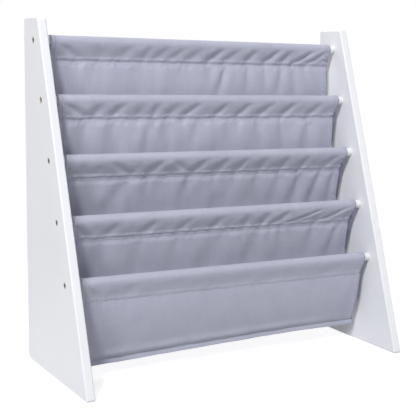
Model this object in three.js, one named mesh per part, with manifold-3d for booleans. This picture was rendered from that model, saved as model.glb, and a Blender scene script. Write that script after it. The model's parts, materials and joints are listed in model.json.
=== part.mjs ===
// A free-standing sling bookshelf for children: two painted board side panels, five round rods
// bolted between them, and five canvas slings that hang from the rods as four open pockets.
// Sizes are in millimetres. X runs along the rods, the front is -Y and +Z is up. The origin is
// the middle of the footprint, on the floor.

import * as THREE from 'three';
import { mergeVertices } from 'three/addons/utils/BufferGeometryUtils.js';
import Module from 'manifold-3d';

const wasm = await Module();
wasm.setup();

// Overall size: the front edge slants back from the foot by this angle
const shelfWidth = 640;
const shelfHeight = 612;
const footDepth = 288;
const frontSlant = THREE.MathUtils.degToRad(19.7);

// Clearance left between pieces that meet, and the overrun of every cut
const fitGap = 0.3;
const cutOverrun = 2;

// Side panels, with eased edges and rounded corners
const panelThickness = 16;
const panelEase = 3;
const topFrontRadius = 8;
const topBackRadius = 6;
const footBackRadius = 12;
const footFrontRadius = 4;

// Rods, counted from the top one down, on a line parallel to the front edge
const rodCount = 5;
const rodDiameter = 16;
const rodChamfer = 0.8;
const rodPitch = 100;
const topRodDrop = 39;
const rodSetback = 36;

// Socket head bolts, sunk in the panels' outer faces
const boltDiameter = 6;
const boltLength = 30;
const boltChamfer = 0.8;
const headDiameter = 10;
const headHeight = 6;
const headChamfer = 0.6;
const socketAcrossFlats = 5;
const socketDepth = 3;
const headSink = 0.8;
const headClearance = 0.5;
const boltClearance = 0.3;
const boltTipRoom = 2;

// Threaded inserts in the rods' ends, which the bolts screw into
const insertDiameter = 9;
const insertLength = 13;
const insertChamfer = 0.7;

// Canvas: its thickness, how much rod shows at each end, the sleeve around a rod, and a pocket
const canvasThickness = 1.2;
const rodShow = 12;
const sleeveDrop = 33;
const sleeveStitch = 3;
const sleeveTail = 10;
const pocketDrop = 130;
const pocketFlange = 9;

// How far each sleeve's stitching, the pull on the wall below it, and each pocket's bottom lie
// behind their rod, as shares of the depth from one rod to the next
const stitchBackShares = [-0.12, 0.15, 0.32, 0.2, 0.06];
const wallBackShares = [-0.34, 0.11, 1.15, 0.95, 0.08];
const pocketBackShares = [0.75, 0.88, 0.88, 0.7];

// How slowly a sling's two legs part below the stitching: 1 is a straight wedge
const legOpening = 1.6;

// Folds: leaning drag folds in the sleeves and soft ones in the walls
const foldCount = 7;
const foldSteps = 3;
const sleeveFold = 2.5;
const wallFold = 1.8;
const foldLeanShare = 0.9;
const foldShiftShare = 0.38;

// Facets
const rodSides = 16;
const boltSides = 12;
const cornerSteps = 3;
const easeSteps = 3;
const wrapSteps = 4;
const sleeveSteps = 3;
const wallSteps = 3;
const hexSides = 6;

const paintedBoard = new THREE.MeshStandardMaterial({ color: 0xe6e8f0, roughness: 0.45 });
const paintedRod = new THREE.MeshStandardMaterial({ color: 0xf2f3f6, roughness: 0.4 });
const brassBolt = new THREE.MeshStandardMaterial({ color: 0xb59a62, roughness: 0.35, metalness: 1 });
const zincInsert = new THREE.MeshStandardMaterial({ color: 0xb4b5b0, roughness: 0.4, metalness: 1 });
const greyCanvas = new THREE.MeshStandardMaterial({ color: 0x9b9fae, roughness: 0.95 });

// Every piece is drawn in a side view: local X is the depth, local Y the height, and local Z
// runs along the rods. The group turns that view into the shelf's own axes.
const sideView = new THREE.Group();
sideView.rotation.set(Math.PI / 2, Math.PI / 2, 0);

function addPiece(name, geometry, material, depth = 0, height = 0, along = 0) {
  const mesh = new THREE.Mesh(geometry, material);
  mesh.name = name;
  mesh.position.set(depth, height, along);
  sideView.add(mesh);
  return mesh;
}

function toSolid(geometry) {
  const bare = geometry.clone();
  bare.deleteAttribute('normal');
  bare.deleteAttribute('uv');
  const merged = mergeVertices(bare);
  return new wasm.Manifold(new wasm.Mesh({
    numProp: 3,
    vertProperties: new Float32Array(merged.attributes.position.array),
    triVerts: new Uint32Array(merged.index.array),
  }));
}

function toGeometry(solid) {
  const { vertProperties, triVerts } = solid.getMesh();
  const geometry = new THREE.BufferGeometry();
  geometry.setAttribute('position', new THREE.BufferAttribute(vertProperties, 3));
  geometry.setIndex(new THREE.BufferAttribute(triVerts, 1));
  return geometry;
}

// A turned piece about local Z, from its [radius, along] points
function turned(profile, sides) {
  const points = profile.map(([radius, along]) => new THREE.Vector2(radius, along));
  return new THREE.LatheGeometry(points, sides).rotateX(Math.PI / 2);
}

// A closed outline with each corner rounded to its own radius, corners counter-clockwise
function roundedOutline(corners) {
  const outline = new THREE.Shape();
  corners.forEach(({ at, radius }, i) => {
    const before = corners.at(i - 1).at.clone().sub(at).normalize();
    const after = corners[(i + 1) % corners.length].at.clone().sub(at).normalize();
    const halfAngle = before.angleTo(after) / 2;
    const middle = before.clone().add(after).normalize();
    const centre = at.clone().addScaledVector(middle, radius / Math.sin(halfAngle));
    const start = at.clone().addScaledVector(before, radius / Math.tan(halfAngle)).sub(centre);
    const end = at.clone().addScaledVector(after, radius / Math.tan(halfAngle)).sub(centre);
    outline.absarc(centre.x, centre.y, radius, start.angle(), end.angle(), false);
  });
  return outline;
}

const backEdge = footDepth / 2;
const innerFace = shelfWidth / 2 - panelThickness;
const rodRadius = rodDiameter / 2;

// The slanting edge's line, whose lower corner is cut back to the foot's depth by its rounding
const footCorner = -backEdge - footFrontRadius * (1 / Math.tan((Math.PI / 2 - frontSlant) / 2) - 1);

function frontEdgeAt(height) {
  return footCorner + Math.tan(frontSlant) * height;
}

// Each rod's axis in the side view, from the top rod down
const rods = Array.from({ length: rodCount }, (_, i) => {
  const height = shelfHeight - topRodDrop - i * rodPitch;
  return new THREE.Vector2(frontEdgeAt(height) + rodSetback, height);
});

// Side panels: the counterbore and the bolt hole are one stepped cutter
const counterboreDepth = headHeight + headSink;

function boltHoleCutter(side) {
  const holeRadius = boltDiameter / 2 + boltClearance;
  const sinkRadius = headDiameter / 2 + headClearance;
  const middle = panelThickness / 2;
  const cutter = turned([
    [0, -middle - cutOverrun],
    [holeRadius, -middle - cutOverrun],
    [holeRadius, middle - counterboreDepth],
    [sinkRadius, middle - counterboreDepth],
    [sinkRadius, middle + cutOverrun],
    [0, middle + cutOverrun],
  ], boltSides);
  return side < 0 ? cutter.rotateY(Math.PI) : cutter;
}

function sidePanel(side) {
  const outline = roundedOutline([
    { at: new THREE.Vector2(frontEdgeAt(0), 0), radius: footFrontRadius },
    { at: new THREE.Vector2(backEdge, 0), radius: footBackRadius },
    { at: new THREE.Vector2(backEdge, shelfHeight), radius: topBackRadius },
    { at: new THREE.Vector2(frontEdgeAt(shelfHeight), shelfHeight), radius: topFrontRadius },
  ]);
  const board = new THREE.ExtrudeGeometry(outline, {
    depth: panelThickness - 2 * panelEase,
    bevelThickness: panelEase,
    bevelSize: panelEase,
    bevelOffset: -panelEase,
    bevelSegments: easeSteps,
    curveSegments: cornerSteps,
  }).translate(0, 0, panelEase - panelThickness / 2);
  let solid = toSolid(board);
  for (const rod of rods) {
    solid = solid.subtract(toSolid(boltHoleCutter(side).translate(rod.x, rod.y, 0)));
  }
  return toGeometry(solid);
}

// A rod with a stepped blind hole in each end, for the insert and for the bolt's tip
const rodLength = 2 * (innerFace - fitGap);
const boltInRod = boltLength - (panelThickness - counterboreDepth) - fitGap;

function rodGeometry() {
  const end = rodLength / 2;
  const tipRadius = boltDiameter / 2 + boltClearance;
  const insertHole = insertDiameter / 2 + fitGap;
  const half = [
    [tipRadius, end - boltInRod - boltTipRoom],
    [tipRadius, end - insertLength - fitGap],
    [insertHole, end - insertLength - fitGap],
    [insertHole, end],
    [rodRadius - rodChamfer, end],
    [rodRadius, end - rodChamfer],
  ];
  const mirrored = half.map(([radius, along]) => [radius, -along]);
  const bottom = end - boltInRod - boltTipRoom;
  return turned([[0, -bottom], ...mirrored, ...half.toReversed(), [0, bottom]], rodSides);
}

function insertGeometry() {
  const outer = insertDiameter / 2;
  const bore = boltDiameter / 2 + boltClearance;
  return turned([
    [bore, 0],
    [outer - insertChamfer, 0],
    [outer, insertChamfer],
    [outer, insertLength - insertChamfer],
    [outer - insertChamfer, insertLength],
    [bore, insertLength],
    [bore, 0],
  ], boltSides);
}

// A bolt whose head's underside is at zero, its tip towards minus and its socket towards plus
function boltGeometry() {
  const shank = boltDiameter / 2;
  const head = headDiameter / 2;
  const bolt = toSolid(turned([
    [0, -boltLength],
    [shank - boltChamfer, -boltLength],
    [shank, boltChamfer - boltLength],
    [shank, 0],
    [head, 0],
    [head, headHeight - headChamfer],
    [head - headChamfer, headHeight],
    [0, headHeight],
  ], boltSides));
  const socketRadius = socketAcrossFlats / 2 / Math.cos(Math.PI / hexSides);
  const socketHeight = socketDepth + cutOverrun;
  const socket = new THREE.CylinderGeometry(socketRadius, socketRadius, socketHeight, hexSides)
    .rotateX(Math.PI / 2)
    .translate(0, 0, headHeight - socketDepth + socketHeight / 2);
  return toGeometry(bolt.subtract(toSolid(socket)));
}

function addRodsAndFixings() {
  const headSeat = shelfWidth / 2 - counterboreDepth + fitGap;
  rods.forEach((rod, i) => {
    const number = i + 1;
    addPiece(`rod_${number}`, rodGeometry(), paintedRod, rod.x, rod.y);
    for (const side of [-1, 1]) {
      const hand = side < 0 ? 'left' : 'right';
      const bolt = addPiece(`bolt_${hand}_${number}`, boltGeometry(), brassBolt,
        rod.x, rod.y, side * headSeat);
      bolt.rotation.y = side < 0 ? Math.PI : 0;
      const insertStart = side < 0 ? -rodLength / 2 : rodLength / 2 - insertLength;
      addPiece(`rod_insert_${hand}_${number}`, insertGeometry(), zincInsert,
        rod.x, rod.y, insertStart);
    }
  });
}

// Slings. Each one goes round its rod in a sleeve that is stitched shut below it, and from the
// stitching its front leg and back leg hang down. A pocket lies between the front leg of one
// sling and the back leg of the next one down, and the two are sewn together at its bottom.
const canvasWidth = rodLength - 2 * rodShow;
const depthStep = rods[0].x - rods[1].x;
const halfLayer = (canvasThickness + fitGap) / 2;
const halfCanvas = canvasThickness / 2;
const pocketBottoms = rods.slice(1).map((rod, i) => new THREE.Vector2(
  rod.x + pocketBackShares[i] * depthStep, rod.y - pocketDrop));

// A smooth curve from a start to an end, pulled to one side between them
function eased(start, pull, end, share) {
  return (1 - share) ** 2 * start + 2 * share * (1 - share) * pull + share ** 2 * end;
}

// A sling's parts in the side view, as centre lines with their share of the fold at each point
function slingLines(index) {
  const rod = rods[index];
  const stitch = rod.x + stitchBackShares[index] * depthStep;
  const belly = rod.x + wallBackShares[index] * depthStep;
  const stitchHeight = rod.y - sleeveDrop;
  const topPocket = index === 0;
  const lowestSling = index === rodCount - 1;
  const frontEnd = lowestSling
    ? pocketBottoms.at(-1).clone().add(new THREE.Vector2(-halfLayer, 0))
    : pocketBottoms[index].clone().add(new THREE.Vector2(halfLayer, 0));
  const point = (depth, height, fold = 0) => ({ depth, height, fold });

  const wallShareAt = (height) => (stitchHeight - height) / (stitchHeight - frontEnd.y);
  const wallDepthAt = (height) => (
    eased(stitch - halfLayer, belly, frontEnd.x, wallShareAt(height)));
  const wallFoldAt = (height) => wallFold * Math.sin(Math.PI * wallShareAt(height));
  const wallTop = stitchHeight - sleeveStitch;

  const frontLeg = [point(frontEnd.x, frontEnd.y - pocketFlange)];
  for (let i = wallSteps; i >= 0; i -= 1) {
    const height = THREE.MathUtils.lerp(wallTop, frontEnd.y, i / wallSteps);
    frontLeg.push(point(wallDepthAt(height), height, wallFoldAt(height)));
  }

  const backLeg = [point(wallDepthAt(wallTop) + 2 * halfLayer, wallTop, wallFoldAt(wallTop))];
  if (topPocket || lowestSling) {
    backLeg.push(point(backLeg[0].depth + halfLayer, stitchHeight - sleeveTail));
  } else {
    const backEnd = pocketBottoms[index - 1].clone().sub(new THREE.Vector2(halfLayer, 0));
    const opening = backEnd.x - wallDepthAt(backEnd.y) - 2 * halfLayer;
    for (let i = 1; i <= wallSteps; i += 1) {
      const share = i / wallSteps;
      const height = THREE.MathUtils.lerp(wallTop, backEnd.y, share);
      const depth = wallDepthAt(height) + 2 * halfLayer + opening * share ** legOpening;
      backLeg.push(point(depth, height, wallFoldAt(height) * (1 - share ** 2)));
    }
    backLeg.push(point(backEnd.x, backEnd.y - pocketFlange));
  }

  const wrapRadius = (rodRadius + fitGap + halfCanvas) / Math.cos(Math.PI / wrapSteps / 2);
  const sleeve = [];
  const sleeveSide = (side, i) => {
    const share = i / sleeveSteps;
    const end = stitch + side * halfLayer;
    const depth = eased(rod.x + side * wrapRadius, rod.x + side * wrapRadius, end, share);
    const fold = sleeveFold * Math.sin(Math.PI * share) ** 2;
    return point(depth, rod.y - sleeveDrop * share, fold);
  };
  for (let i = sleeveSteps; i > 0; i -= 1) {
    sleeve.push(sleeveSide(-1, i));
  }
  for (let i = 0; i <= wrapSteps; i += 1) {
    const angle = Math.PI * (1 - i / wrapSteps);
    sleeve.push(point(rod.x + wrapRadius * Math.cos(angle), rod.y + wrapRadius * Math.sin(angle)));
  }
  for (let i = 1; i <= sleeveSteps; i += 1) {
    sleeve.push(sleeveSide(1, i));
  }
  return { frontLeg, sleeve, backLeg };
}

// The same line moved to its left by a distance, mitred at its corners
function offsetLine(line, distance) {
  return line.map((at, i) => {
    const before = line[Math.max(i - 1, 0)];
    const after = line[Math.min(i + 1, line.length - 1)];
    const into = new THREE.Vector2(at.depth - before.depth, at.height - before.height).normalize();
    const out = new THREE.Vector2(after.depth - at.depth, after.height - at.height).normalize();
    const along = into.add(out).normalize();
    const turn = out.lengthSq() > 0 ? Math.max(along.dot(out), Math.SQRT1_2) : 1;
    return {
      depth: at.depth - along.y * distance / turn,
      height: at.height + along.x * distance / turn,
      fold: at.fold,
    };
  });
}

// The section's two rings, the canvas all round and the tunnel for the rod, and its end as
// quads: a strip across the canvas, and the stitched place that closes the tunnel
function slingSection(index) {
  const { frontLeg, sleeve, backLeg } = slingLines(index);
  const whole = [...frontLeg, ...sleeve, ...backLeg];
  const inside = offsetLine(whole, -halfCanvas);
  const tunnelStart = frontLeg.length;
  const tunnelEnd = tunnelStart + sleeve.length;
  const legsInside = [...inside.slice(0, tunnelStart), ...inside.slice(tunnelEnd)];
  const skin = [...legsInside, ...offsetLine(whole, halfCanvas).toReversed()];
  const tunnel = inside.slice(tunnelStart, tunnelEnd);

  const outer = (i) => skin.length - 1 - i;
  const inner = (i) => {
    if (i < tunnelStart) return i;
    return i < tunnelEnd ? skin.length + i - tunnelStart : i - sleeve.length;
  };
  const end = whole.slice(1).map((_, i) => [inner(i), inner(i + 1), outer(i + 1), outer(i)]);
  end.push([inner(tunnelStart - 1), inner(tunnelEnd), inner(tunnelEnd - 1), inner(tunnelStart)]);
  return { skin, tunnel, end };
}

function slingGeometry(index) {
  const { skin, tunnel, end } = slingSection(index);
  const rod = rods[index];
  const ring = [...skin, ...tunnel];
  const stations = foldCount * foldSteps;
  const positions = [];
  for (let i = 0; i <= stations; i += 1) {
    const along = canvasWidth * (i / stations - 1 / 2);
    for (const { depth, height, fold } of ring) {
      const lean = foldLeanShare * (rod.y - height) / rodPitch;
      const phase = foldCount * i / stations + lean + foldShiftShare * index;
      positions.push(depth + fold * Math.sin(2 * Math.PI * phase), height, along);
    }
  }

  const faces = [];
  const addWalls = (start, count) => {
    for (let i = 0; i < stations; i += 1) {
      for (let j = 0; j < count; j += 1) {
        const near = i * ring.length + start;
        const a = near + j;
        const b = near + (j + 1) % count;
        const c = a + ring.length;
        const d = b + ring.length;
        faces.push(a, b, c, b, d, c);
      }
    }
  };
  addWalls(0, skin.length);
  addWalls(skin.length, tunnel.length);

  const farEnd = stations * ring.length;
  for (const [a, b, c, d] of end) {
    faces.push(a, c, b, a, d, c);
    faces.push(farEnd + a, farEnd + b, farEnd + c, farEnd + a, farEnd + c, farEnd + d);
  }

  const geometry = new THREE.BufferGeometry();
  geometry.setAttribute('position', new THREE.Float32BufferAttribute(positions, 3));
  geometry.setIndex(faces);
  return geometry;
}

const panelMiddle = innerFace + panelThickness / 2;
addPiece('side_panel_left', sidePanel(-1), paintedBoard, 0, 0, -panelMiddle);
addPiece('side_panel_right', sidePanel(1), paintedBoard, 0, 0, panelMiddle);
addRodsAndFixings();
rods.forEach((_, i) => addPiece(`sling_${i + 1}`, slingGeometry(i), greyCanvas));

const shelf = new THREE.Group();
shelf.add(sideView);

export default shelf;
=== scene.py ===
# Sling bookshelf, dressed over its CAD frame. All lengths are metres.
import json
import math
from types import SimpleNamespace as Settings

import bmesh
import bpy
import numpy as np
from mathutils import Matrix, Vector

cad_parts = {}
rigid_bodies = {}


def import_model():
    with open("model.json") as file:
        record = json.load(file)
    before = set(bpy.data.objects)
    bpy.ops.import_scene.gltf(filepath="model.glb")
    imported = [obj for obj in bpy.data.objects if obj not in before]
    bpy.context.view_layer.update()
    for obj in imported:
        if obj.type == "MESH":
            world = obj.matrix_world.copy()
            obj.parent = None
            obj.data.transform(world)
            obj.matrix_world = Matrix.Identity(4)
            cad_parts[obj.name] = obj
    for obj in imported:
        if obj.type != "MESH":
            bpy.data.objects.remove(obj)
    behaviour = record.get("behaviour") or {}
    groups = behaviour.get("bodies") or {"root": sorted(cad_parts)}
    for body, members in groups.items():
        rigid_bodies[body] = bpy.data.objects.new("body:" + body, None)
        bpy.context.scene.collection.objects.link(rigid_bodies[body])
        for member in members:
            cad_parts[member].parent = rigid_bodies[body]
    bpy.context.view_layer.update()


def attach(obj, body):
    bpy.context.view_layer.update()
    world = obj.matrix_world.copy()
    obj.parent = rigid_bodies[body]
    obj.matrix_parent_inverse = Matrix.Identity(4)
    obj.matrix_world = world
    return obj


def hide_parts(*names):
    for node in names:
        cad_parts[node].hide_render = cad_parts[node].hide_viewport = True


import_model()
mm = 0.001

shelf = Settings(
    width=640 * mm,
    height=612 * mm,
    footDepth=288 * mm,
    frontSlant=math.radians(19.7),
    boardThickness=16 * mm,
    footFrontRadius=4 * mm,
    rodPitch=100 * mm,
    topRodDrop=39 * mm,
    rodSetback=36 * mm,
    rodRadius=8 * mm,
    rodCount=5,
    fitGap=0.3 * mm,
)

outerFace = shelf.width / 2
innerFace = outerFace - shelf.boardThickness
backEdge = shelf.footDepth / 2
footCorner = -backEdge - shelf.footFrontRadius * (
    1 / math.tan((math.pi / 2 - shelf.frontSlant) / 2) - 1)


def frontEdgeAt(height):
    return footCorner + math.tan(shelf.frontSlant) * height


rods = []  # each rod's axis as (depth, height), from the top rod down
for number in range(shelf.rodCount):
    rodHeight = shelf.height - shelf.topRodDrop - number * shelf.rodPitch
    rods.append((frontEdgeAt(rodHeight) + shelf.rodSetback, rodHeight))
depthStep = rods[0][0] - rods[1][0]


def addObject(data):
    # an object of its data's name, in the scene
    item = bpy.data.objects.new(data.name, data)
    bpy.context.collection.objects.link(item)
    return item


# Camera, matched to the photograph

view = Settings(
    place=(-0.8959, -1.6142, 0.5463),
    turn=-31.383,
    down=9.469,
    roll=1.388,
    focalPixels=1014.8,
    middlePixels=(262.1, 230.9),
    imagePixels=416,
    sensorWidth=36,
    farthest=50,
)


def addCamera():
    lens = bpy.data.cameras.new("photoView")
    lens.sensor_width = view.sensorWidth
    lens.lens = view.focalPixels / view.imagePixels * lens.sensor_width
    half = view.imagePixels / 2
    lens.shift_x = (half - view.middlePixels[0]) / view.imagePixels
    lens.shift_y = (view.middlePixels[1] - half) / view.imagePixels
    lens.clip_end = view.farthest
    camera = addObject(lens)
    camera.matrix_world = (
        Matrix.Translation(view.place)
        @ Matrix.Rotation(math.radians(view.turn), 4, "Z")
        @ Matrix.Rotation(math.radians(90 - view.down), 4, "X")
        @ Matrix.Rotation(math.radians(view.roll), 4, "Z"))
    bpy.context.scene.camera = camera
    print("camera placed")


def deselectAll():
    bpy.ops.object.select_all(action="DESELECT")


def discard(piece):
    bpy.data.objects.remove(piece, do_unlink=True)


# Materials

def feed(tree, socket, value):
    # another node's socket is linked, anything else is set
    if isinstance(value, bpy.types.NodeSocket):
        tree.links.new(value, socket)
    else:
        socket.default_value = value


def addNode(tree, kind, values=None, **settings):
    node = tree.nodes.new("ShaderNode" + kind)
    for key, value in settings.items():
        setattr(node, key, value)
    for key, value in (values or {}).items():
        feed(tree, node.inputs[key], value)
    return node


def newMaterial(name):
    material = bpy.data.materials.new(name)
    material.use_nodes = True
    tree = material.node_tree
    tree.nodes.clear()
    return material, tree, addNode(tree, "OutputMaterial").inputs[0]


def newGroup(name, setting, results):
    # takes a place and one number, gives numbers
    group = bpy.data.node_groups.new(name, "ShaderNodeTree")
    sockets = [("Vector", "INPUT", "NodeSocketVector"), (setting, "INPUT", "NodeSocketFloat")]
    sockets += [(result, "OUTPUT", "NodeSocketFloat") for result in results]
    for label, side, kind in sockets:
        group.interface.new_socket(label, in_out=side, socket_type=kind)
    entry = group.nodes.new("NodeGroupInput")
    leave = group.nodes.new("NodeGroupOutput")
    return group, entry.outputs[0], entry.outputs[1], leave.inputs


def addMath(tree, operation, *values):
    return addNode(tree, "Math", dict(enumerate(values)), operation=operation).outputs[0]


def multiply(tree, first, second):
    return addMath(tree, "MULTIPLY", first, second)


def addRange(tree, value, span, low=0.0, high=1.0):
    # low at the start of the span, high at its end, and level outside it
    return addNode(tree, "MapRange", dict(enumerate((value, *span, low, high)))).outputs[0]


def addNoise(tree, place, scale, detail, roughness=0.5):
    return addNode(tree, "TexNoise", {
        "Vector": place, "Scale": scale, "Detail": detail, "Roughness": roughness}).outputs[0]


def placeOnPiece(tree):
    return addNode(tree, "TexCoord").outputs["Object"]


def stretch(tree, place, scale):
    return addNode(tree, "Mapping", {"Vector": place, "Scale": scale}).outputs[0]


def blendColour(tree, factor, first, second):
    return addNode(tree, "Mix", {0: factor, 6: first, 7: second}, data_type="RGBA").outputs[2]


def addSurface(tree, surface, values, height, strength, depth):
    # a principled surface with a bump map
    bump = addNode(tree, "Bump", {"Height": height, "Strength": strength, "Distance": depth})
    shader = addNode(tree, "BsdfPrincipled", {**values, "Normal": bump.outputs[0]})
    feed(tree, surface, shader.outputs[0])


paintSkin = Settings(
    broadScale=120.0,
    broadShare=0.5,
    cloudScale=7.0,
    dustScale=220.0,
    dustSize=(0.02, 0.07),
    dustShare=0.05,
    dimpleDepth=0.4 * mm,
    coatRoughness=0.3,
    refraction=1.46,
)


def makePaintGroup():
    # rolled paint: a fine dimpled skin, soft clouds of tone, and specks of dust under it
    group, place, dimpleScale, leave = newGroup(
        "rolledPaint", "Dimple Scale", ("Height", "Cloud", "Speck"))
    dimples = addNoise(group, place, dimpleScale, detail=2.0, roughness=0.45)
    broad = addNoise(group, place, paintSkin.broadScale, detail=1.0)
    dust = addNode(group, "TexVoronoi", {
        "Vector": place, "Scale": paintSkin.dustScale, "Randomness": 1.0})
    feed(group, leave["Height"],
         addMath(group, "MULTIPLY_ADD", broad, paintSkin.broadShare, dimples))
    feed(group, leave["Cloud"], addNoise(group, place, paintSkin.cloudScale, detail=3.0))
    feed(group, leave["Speck"],
         addRange(group, dust.outputs["Distance"], paintSkin.dustSize, 1.0, 0.0))
    return group


def makeWeaveGroup():
    # a plain weave: each thread passes over one and under the next
    group, place, threads, leave = newGroup("plainWeave", "Threads Per Metre", ("Height",))
    scaled = addNode(group, "VectorMath", {0: place, "Scale": threads}, operation="SCALE")
    axes = addNode(group, "SeparateXYZ", {0: scaled.outputs[0]})
    across, along = [
        addMath(group, "SINE", multiply(group, axes.outputs[axis], math.pi)) for axis in (0, 1)]
    warpUp = addRange(group, multiply(group, across, along), (-0.5, 0.5))
    weftUp = addMath(group, "SUBTRACT", 1.0, warpUp)
    warp = multiply(group, addMath(group, "ABSOLUTE", across), warpUp)
    weft = multiply(group, addMath(group, "ABSOLUTE", along), weftUp)
    feed(group, leave["Height"], addMath(group, "MAXIMUM", warp, weft))
    return group


def makePaint(name, look, group):
    material, tree, surface = newMaterial(name)
    paint = addNode(tree, "Group", {
        "Vector": placeOnPiece(tree), "Dimple Scale": look.dimpleScale}, node_tree=group)
    cloud = paint.outputs["Cloud"]
    colour = blendColour(tree, addRange(tree, cloud, (0.35, 0.65)), look.shade, look.colour)
    dust = multiply(tree, paint.outputs["Speck"], paintSkin.dustShare)
    addSurface(tree, surface, {
        "Base Color": blendColour(tree, dust, colour, look.speck),
        "Roughness": addRange(tree, cloud, (0.3, 0.7), *look.roughness),
        "Coat Weight": look.coat,
        "Coat Roughness": paintSkin.coatRoughness,
        "IOR": paintSkin.refraction,
    }, paint.outputs["Height"], look.dimpling, paintSkin.dimpleDepth)
    return material


def makeMetal(name, look):
    # turned metal: fine rings round the piece's axis, handled tone and small pits
    material, tree, surface = newMaterial(name)
    place = placeOnPiece(tree)
    grain = addNoise(tree, stretch(tree, place, look.grainScale), scale=1.0, detail=3.0)
    tarnish = addNoise(tree, place, look.tarnishScale, detail=4.0)
    addSurface(tree, surface, {
        "Base Color": blendColour(tree, addRange(tree, tarnish, (0.4, 0.65)),
                                  look.colour, look.tarnish),
        "Roughness": addRange(tree, grain, (0.3, 0.7), *look.roughness),
        "Metallic": 1.0,
    }, grain, strength=0.15, depth=0.1 * mm)
    return material


def makeCanvas(name, look, weaveGroup):
    # the piece's UV map holds metres along the rod and along the cloth
    material, tree, surface = newMaterial(name)
    place = addNode(tree, "UVMap", uv_map="clothMetres").outputs[0]
    weave = addNode(tree, "Group", {
        "Vector": place, "Threads Per Metre": look.threadsPerMetre}, node_tree=weaveGroup)
    weaveHeight = weave.outputs["Height"]
    streaks = [addNoise(tree, stretch(tree, place, scale), scale=1.0, detail=2.0)
               for scale in look.slubScales]
    slub = multiply(tree, addMath(tree, "ADD", *streaks), 0.5)
    mottle = addNoise(tree, place, look.mottleScale, detail=4.0, roughness=0.6)
    colour = blendColour(tree, addRange(tree, slub, (0.4, 0.6)), look.darkThread, look.thread)
    colour = blendColour(tree, addRange(tree, mottle, (0.35, 0.65), 0.0, look.mottling),
                         colour, look.faded)
    # painted shade: the weave's hollows are darkened towards the shade colour
    colour = blendColour(tree, addRange(tree, weaveHeight, (0.0, 0.6), look.valleyTone, 0.0),
                         colour, look.valley)
    # painted shade read from the mesh: dashed along the stitched seams and hems, and heavier at the
    # cloth's ends and inside the folds
    axes = addNode(tree, "SeparateXYZ", {0: place})
    travelled = addMath(tree, "ADD", axes.outputs[0], axes.outputs[1])
    turned = multiply(tree, travelled, 2 * math.pi / look.stitchPitch)
    dash = addRange(tree, addMath(tree, "SINE", turned), (-0.6, 0.6), *look.stitchShades)
    paintedShadeNode = addNode(tree, "Attribute", attribute_name="paintedShadeMask")
    colour = blendColour(tree, multiply(tree, paintedShadeNode.outputs["Fac"], dash), colour, look.valley)
    addSurface(tree, surface, {
        "Base Color": colour,
        "Roughness": addRange(tree, weaveHeight, (0.0, 1.0), *look.roughness),
        "Sheen Weight": look.sheen,
        "Sheen Roughness": look.sheenRoughness,
        "Sheen Tint": look.sheenTint,
        "Specular IOR Level": look.specular,
    }, addMath(tree, "MULTIPLY_ADD", slub, look.slubHeight, weaveHeight),
        look.weaveStrength, look.weaveDepth)
    return material


def makeThread(name, look):
    material, tree, surface = newMaterial(name)
    twist = addNode(tree, "TexWave", {
        "Vector": placeOnPiece(tree), "Scale": look.twistScale, "Distortion": 1.0,
    }, bands_direction="DIAGONAL").outputs["Fac"]
    addSurface(tree, surface, {
        "Base Color": blendColour(tree, twist, look.dark, look.colour),
        "Roughness": addRange(tree, twist, (0.0, 1.0), *look.roughness),
        "Sheen Weight": look.sheen,
    }, twist, strength=0.4, depth=0.1 * mm)
    return material


turnedGrain = {"grainScale": (200, 2600, 2600), "tarnishScale": 160.0}
finishes = {
    "boardPaint": Settings(
        colour=(0.8, 0.81, 0.845, 1), shade=(0.775, 0.785, 0.825, 1), speck=(0.6, 0.6, 0.62, 1),
        roughness=(0.37, 0.47), coat=0.15, dimpleScale=750.0, dimpling=0.12),
    "rodPaint": Settings(
        colour=(0.86, 0.865, 0.88, 1), shade=(0.83, 0.835, 0.86, 1), speck=(0.65, 0.65, 0.66, 1),
        roughness=(0.27, 0.37), coat=0.35, dimpleScale=1100.0, dimpling=0.1),
    "satinBrass": Settings(
        colour=(0.38, 0.3, 0.165, 1), tarnish=(0.22, 0.175, 0.095, 1), roughness=(0.26, 0.44),
        **turnedGrain),
    # near-black painted shade for the faces inside the hex socket
    "socketPaintedShade": Settings(
        colour=(0.03, 0.028, 0.025, 1), tarnish=(0.018, 0.017, 0.016, 1), roughness=(0.52, 0.7),
        **turnedGrain),
    "platedZinc": Settings(
        colour=(0.55, 0.56, 0.55, 1), tarnish=(0.42, 0.43, 0.44, 1), roughness=(0.34, 0.52),
        grainScale=(2600, 400, 400), tarnishScale=240.0),
    # the darkest canvas colour is painted shade, used in the weave's hollows, along stitch lines,
    # at the cloth's ends and inside the folds
    "greyCanvas": Settings(
        thread=(0.472, 0.483, 0.592, 1), darkThread=(0.408, 0.419, 0.52, 1),
        faded=(0.527, 0.538, 0.637, 1), mottling=0.35, mottleScale=22.0,
        valley=(0.24, 0.25, 0.335, 1), valleyTone=0.3, threadsPerMetre=1750.0, weaveStrength=0.35,
        weaveDepth=0.2 * mm, slubScales=((22.0, 1750.0, 1.0), (1750.0, 22.0, 1.0)), slubHeight=0.6,
        stitchShades=(0.1875, 0.75), stitchPitch=5.4 * mm, roughness=(0.95, 0.8), specular=0.25,
        sheen=0.24, sheenRoughness=0.45, sheenTint=(1.0, 0.98, 0.95, 1.0)),
    "seamThread": Settings(
        colour=(0.52, 0.53, 0.62, 1), dark=(0.32, 0.33, 0.41, 1), roughness=(0.8, 0.6),
        twistScale=900.0, sheen=0.2),
}
paintGroup = makePaintGroup()
boardPaint, rodPaint = [
    makePaint(name, finishes[name], paintGroup) for name in ("boardPaint", "rodPaint")]
satinBrass, socketPaintedShade, platedZinc = [
    makeMetal(name, finishes[name]) for name in ("satinBrass", "socketPaintedShade", "platedZinc")]
greyCanvas = makeCanvas("greyCanvas", finishes["greyCanvas"], makeWeaveGroup())
seamThread = makeThread("seamThread", finishes["seamThread"])
print("materials made")


# Stage and lights

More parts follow.
